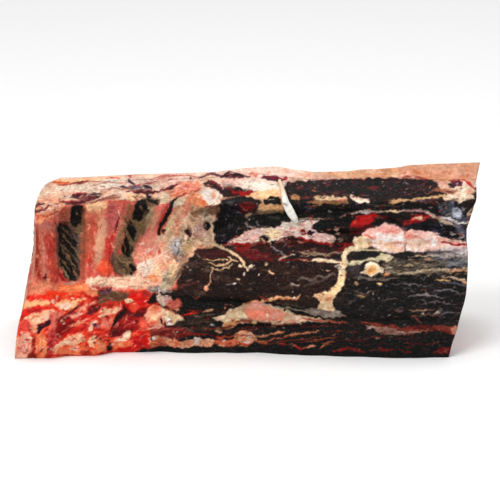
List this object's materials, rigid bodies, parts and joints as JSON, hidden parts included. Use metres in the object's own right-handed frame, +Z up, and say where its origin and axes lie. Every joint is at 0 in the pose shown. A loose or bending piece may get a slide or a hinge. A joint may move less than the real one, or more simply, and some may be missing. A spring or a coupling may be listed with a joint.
{
  "type": "dry-aged beef loin",
  "caption": "Bone-in beef loin from dry ageing, standing on its sawn backbone: open ribs and a dark tenderloin on the inner side, a fat cap on the back.",
  "frame": {"origin": "on the surface that the loin stands on, under the middle of its overall box", "axes": "+X along the back from the rib end to the hip end, +Y from the inner side to the fat on the back, +Z up"},
  "size_m": [0.4788, 0.1512, 0.1878],
  "materials": {
    "lean": "dry dark crust, half matt",
    "fat_cap": "waxy cream fat",
    "bone": "red and pink, slightly moist",
    "tenderloin": "dark brown crust with cream streaks",
    "kidney_fat": "lumpy pink and cream fat",
    "sinew": "pale twisted cord"
  },
  "bodies": {
    "root": {"lean": "lean", "fat_cap": "fat_cap", "backbone": "bone", "rib_1": "bone", "rib_2": "bone", "rib_3": "bone", "tenderloin": "tenderloin", "kidney_fat_upper": "kidney_fat", "kidney_fat_lower": "kidney_fat", "sinew": "sinew"}
  },
  "joints": []
}
